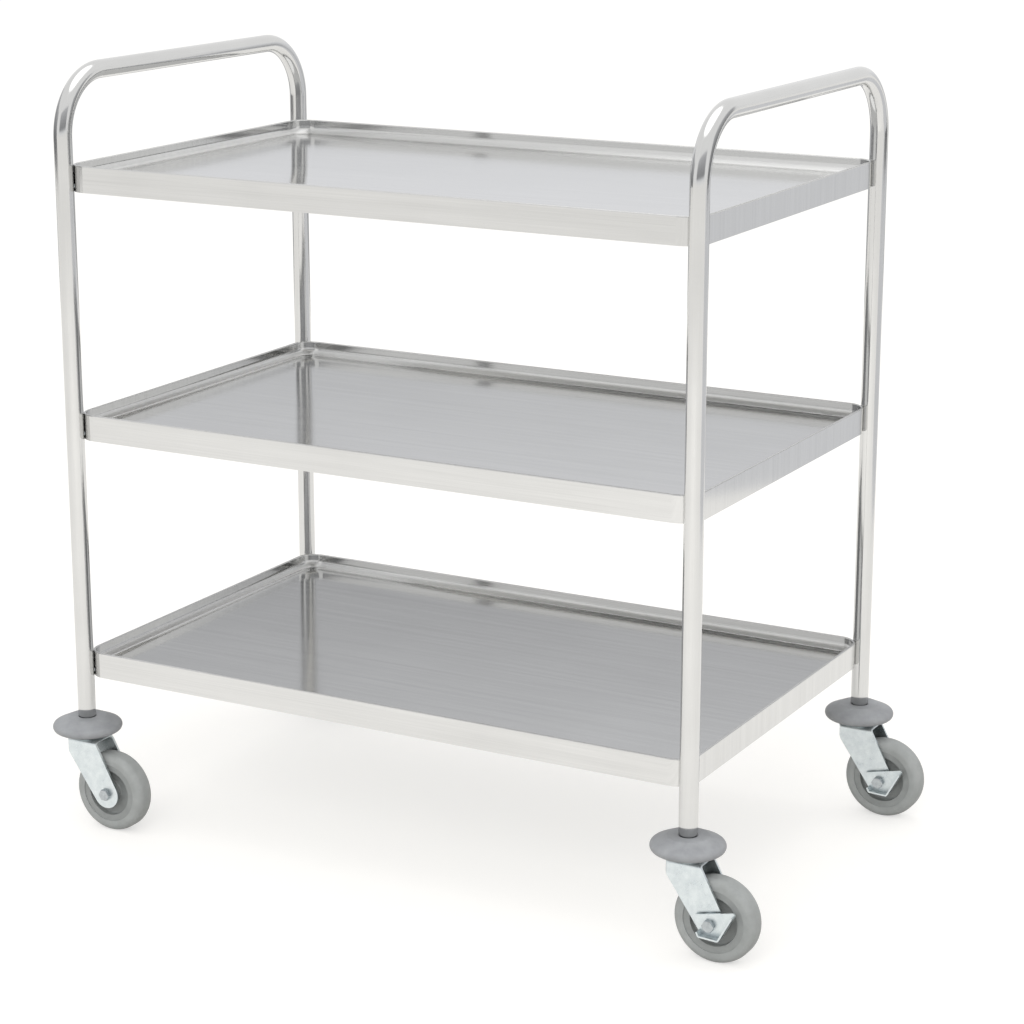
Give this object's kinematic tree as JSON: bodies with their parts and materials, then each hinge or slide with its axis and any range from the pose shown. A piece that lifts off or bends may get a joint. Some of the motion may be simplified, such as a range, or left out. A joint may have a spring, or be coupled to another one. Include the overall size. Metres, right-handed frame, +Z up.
{
  "type": "serving trolley",
  "caption": "Stainless serving trolley with rimmed trays hung between bent tube ends that rise into push handles, on swivel casters with round bumpers and foot brakes.",
  "frame": {"origin": "on the floor, in the middle of the footprint with all casters trailing towards +X", "axes": "+X along the length towards the braked end, +Y from front to back, +Z up"},
  "size_m": [0.959, 0.594, 0.948],
  "materials": {
    "stainless_tube": "satin polished stainless tube",
    "stainless_sheet": "bright brushed stainless sheet",
    "zinc_pressing": "bright zinc plated pressing",
    "zinc_fastener": "zinc plated fastener",
    "bearing_steel": "polished steel balls",
    "plug_plastic": "moulded nylon",
    "bumper_rubber": "moulded grey rubber",
    "wheel_plastic": "moulded grey polypropylene",
    "tyre_rubber": "moulded grey non-marking rubber"
  },
  "bodies": {
    "frame": {"left_end_frame": "stainless_tube", "right_end_frame": "stainless_tube", "top_tray": "stainless_sheet", "middle_tray": "stainless_sheet", "bottom_tray": "stainless_sheet", "tray_bolts": "zinc_fastener", "tray_washers": "zinc_fastener", "rivet_nuts": "zinc_fastener", "leg_plugs": "plug_plastic", "king_pins": "zinc_fastener", "front_left_bumper": "bumper_rubber", "front_left_swivel_cap": "zinc_pressing", "front_right_bumper": "bumper_rubber", "front_right_swivel_cap": "zinc_pressing", "back_left_bumper": "bumper_rubber", "back_left_swivel_cap": "zinc_pressing", "back_right_bumper": "bumper_rubber", "back_right_swivel_cap": "zinc_pressing"},
    "front_left_swivel_body": {"front_left_fork": "zinc_pressing", "front_left_swivel_balls": "bearing_steel", "front_left_axle_bolt": "zinc_fastener", "front_left_axle_nut": "zinc_fastener", "front_left_axle_sleeve": "zinc_fastener"},
    "front_left_wheel_body": {"front_left_wheel_core": "wheel_plastic", "front_left_tyre": "tyre_rubber"},
    "front_right_swivel_body": {"front_right_fork": "zinc_pressing", "front_right_swivel_balls": "bearing_steel", "front_right_axle_bolt": "zinc_fastener", "front_right_axle_nut": "zinc_fastener", "front_right_axle_sleeve": "zinc_fastener"},
    "front_right_wheel_body": {"front_right_wheel_core": "wheel_plastic", "front_right_tyre": "tyre_rubber"},
    "front_right_pedal_body": {"front_right_brake_pedal": "zinc_pressing", "front_right_brake_cam": "zinc_fastener"},
    "front_right_shoe_body": {"front_right_brake_shoe": "zinc_fastener"},
    "back_left_swivel_body": {"back_left_fork": "zinc_pressing", "back_left_swivel_balls": "bearing_steel", "back_left_axle_bolt": "zinc_fastener", "back_left_axle_nut": "zinc_fastener", "back_left_axle_sleeve": "zinc_fastener"},
    "back_left_wheel_body": {"back_left_wheel_core": "wheel_plastic", "back_left_tyre": "tyre_rubber"},
    "back_right_swivel_body": {"back_right_fork": "zinc_pressing", "back_right_swivel_balls": "bearing_steel", "back_right_axle_bolt": "zinc_fastener", "back_right_axle_nut": "zinc_fastener", "back_right_axle_sleeve": "zinc_fastener"},
    "back_right_wheel_body": {"back_right_wheel_core": "wheel_plastic", "back_right_tyre": "tyre_rubber"},
    "back_right_pedal_body": {"back_right_brake_pedal": "zinc_pressing", "back_right_brake_cam": "zinc_fastener"},
    "back_right_shoe_body": {"back_right_brake_shoe": "zinc_fastener"}
  },
  "joints": [
    {"name": "front_left_swivel", "type": "hinge", "parent": "frame", "child": "front_left_swivel_body", "pos_m": [-0.4365, -0.254, 0.05], "axis": [0, 0, 1], "continuous": true},
    {"name": "front_left_wheel", "type": "hinge", "parent": "front_left_swivel_body", "child": "front_left_wheel_body", "pos_m": [-0.3985, -0.254, 0.05], "axis": [0, 1, 0], "continuous": true},
    {"name": "front_right_swivel", "type": "hinge", "parent": "frame", "child": "front_right_swivel_body", "pos_m": [0.3915, -0.254, 0.05], "axis": [0, 0, 1], "continuous": true},
    {"name": "front_right_wheel", "type": "hinge", "parent": "front_right_swivel_body", "child": "front_right_wheel_body", "pos_m": [0.4295, -0.254, 0.05], "axis": [0, 1, 0], "continuous": true},
    {"name": "front_right_pedal", "type": "hinge", "parent": "front_right_swivel_body", "child": "front_right_pedal_body", "pos_m": [0.4295, -0.254, 0.05], "axis": [0, 1, 0], "range_deg": [0, 25]},
    {"name": "front_right_shoe", "type": "slide", "parent": "front_right_swivel_body", "child": "front_right_shoe_body", "axis": [0, 1, 0], "range_m": [0, 0.0017]},
    {"name": "back_left_swivel", "type": "hinge", "parent": "frame", "child": "back_left_swivel_body", "pos_m": [-0.4365, 0.254, 0.05], "axis": [0, 0, 1], "continuous": true},
    {"name": "back_left_wheel", "type": "hinge", "parent": "back_left_swivel_body", "child": "back_left_wheel_body", "pos_m": [-0.3985, 0.254, 0.05], "axis": [0, 1, 0], "continuous": true},
    {"name": "back_right_swivel", "type": "hinge", "parent": "frame", "child": "back_right_swivel_body", "pos_m": [0.3915, 0.254, 0.05], "axis": [0, 0, 1], "continuous": true},
    {"name": "back_right_wheel", "type": "hinge", "parent": "back_right_swivel_body", "child": "back_right_wheel_body", "pos_m": [0.4295, 0.254, 0.05], "axis": [0, 1, 0], "continuous": true},
    {"name": "back_right_pedal", "type": "hinge", "parent": "back_right_swivel_body", "child": "back_right_pedal_body", "pos_m": [0.4295, 0.254, 0.05], "axis": [0, 1, 0], "range_deg": [0, 25]},
    {"name": "back_right_shoe", "type": "slide", "parent": "back_right_swivel_body", "child": "back_right_shoe_body", "axis": [0, 1, 0], "range_m": [0, 0.0017]}
  ],
  "couplings": [
    {"joint": "front_right_shoe", "follows": "front_right_pedal", "m_per_rad": 0.0038961},
    {"joint": "back_right_shoe", "follows": "back_right_pedal", "m_per_rad": 0.0038961}
  ]
}
